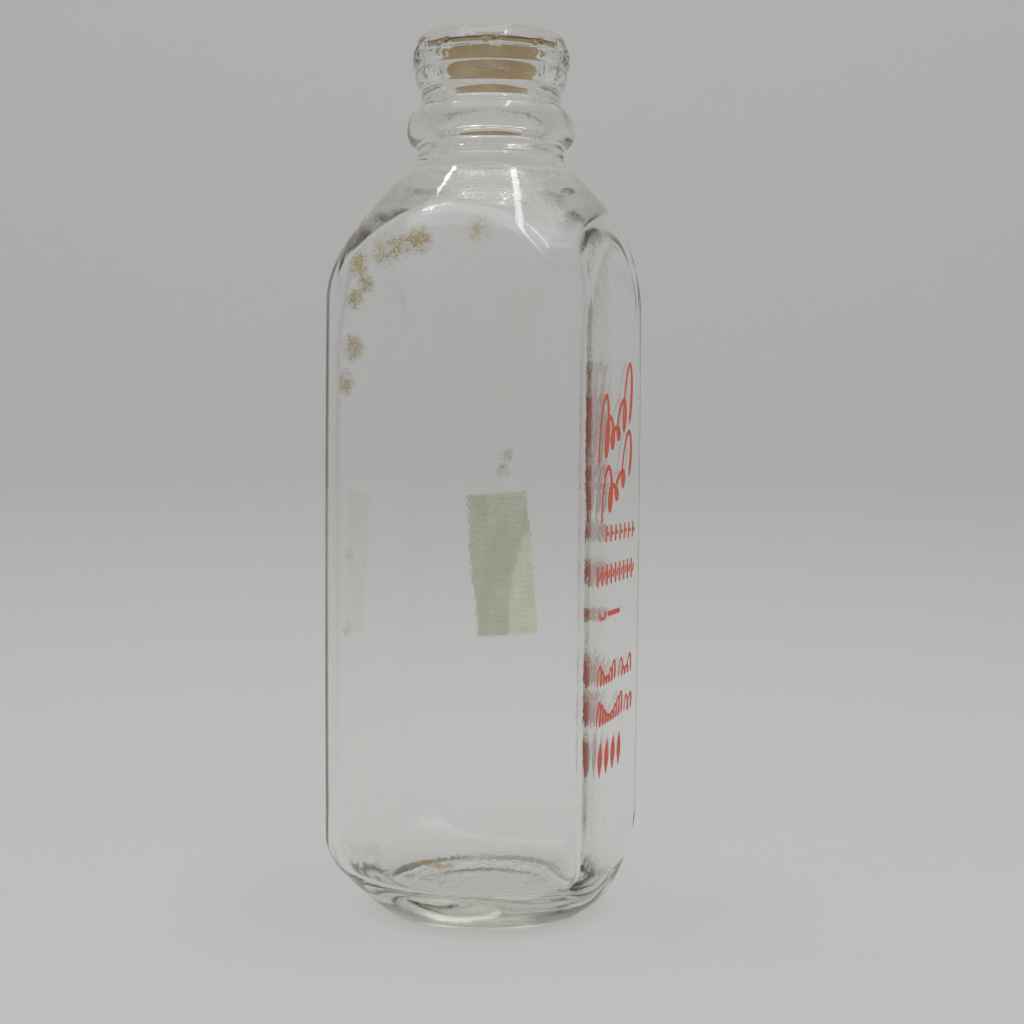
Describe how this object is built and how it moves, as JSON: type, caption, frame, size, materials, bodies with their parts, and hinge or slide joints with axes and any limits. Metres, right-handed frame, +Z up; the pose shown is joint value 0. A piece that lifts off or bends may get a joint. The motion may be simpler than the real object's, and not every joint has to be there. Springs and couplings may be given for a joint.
{
  "type": "square glass milk bottle",
  "caption": "Square clear-glass quart milk bottle with rounded shoulders, a carrying ring and a two-tier lip, closed by a paperboard cap disc with a stapled pull tab.",
  "frame": {"origin": "centre of the base, on the plane that the foot ring stands on", "axes": "+Z up along the bottle; +X out of the printed face; +Y out of the face that carries the paper label"},
  "size_m": [0.0814, 0.0819, 0.265],
  "materials": {
    "clear_glass": "clear pressed-and-blown glass with a faint grey-green tint",
    "paperboard": "uncoated tan paperboard",
    "tab_paper": "matt kraft paper",
    "staple_steel": "drawn wire",
    "label_paper": "pale green paper, faded"
  },
  "bodies": {
    "bottle": {"glass_bottle": "clear_glass", "stock_label": "label_paper"},
    "cap": {"cap_disc": "paperboard", "tab_foot": "tab_paper", "tab_staple": "staple_steel"},
    "pull_tab": {"pull_tab": "tab_paper"}
  },
  "joints": [
    {"name": "cap_lift", "type": "slide", "parent": "bottle", "child": "cap", "axis": [0, 0, 1], "range_m": [0, 0.06]},
    {"name": "tab_lift", "type": "hinge", "parent": "cap", "child": "pull_tab", "pos_m": [0, 0.002, 0.26217], "axis": [1, 0, 0], "range_deg": [0, 110]}
  ]
}
